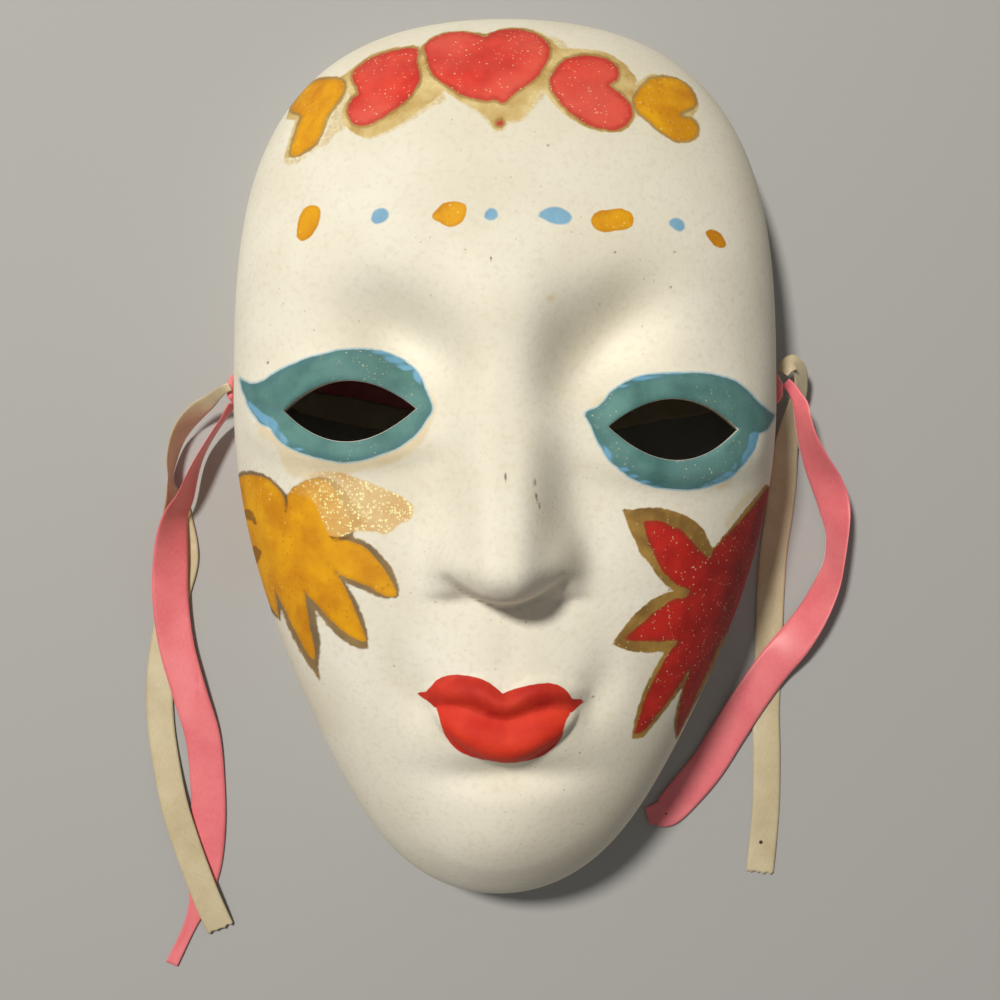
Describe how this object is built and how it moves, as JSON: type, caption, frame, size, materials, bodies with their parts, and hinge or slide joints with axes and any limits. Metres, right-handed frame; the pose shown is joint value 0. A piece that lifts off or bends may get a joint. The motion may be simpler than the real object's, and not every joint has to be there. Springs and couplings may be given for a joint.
{
  "type": "masquerade mask",
  "caption": "Full-face ceramic wall mask, a thin hollow shell with almond eye openings, painted hearts and flowers, and satin ribbons tied at the temples.",
  "frame": {"origin": "middle of the shell's box in plan, in the plane of its flat rim, without the ribbons", "axes": "+X to the viewer's right, +Y from the chin to the forehead, +Z from the rim's plane out of the face"},
  "size_m": [0.1853, 0.2468, 0.0739],
  "materials": {
    "painted_bisque": "matte off-white bisque, hand-painted in red, yellow, gold, teal and blue with glitter",
    "pink_satin": "pink satin ribbon with a soft sheen",
    "cream_satin": "cream satin ribbon with a soft sheen"
  },
  "bodies": {
    "root": {"mask": "painted_bisque", "left_knot": "pink_satin", "right_knot": "pink_satin", "left_pink_ribbon": "pink_satin", "right_pink_ribbon": "pink_satin", "inner_pink_ribbon": "pink_satin", "left_cream_ribbon": "cream_satin", "right_cream_ribbon": "cream_satin", "inner_cream_ribbon": "cream_satin"}
  },
  "joints": []
}
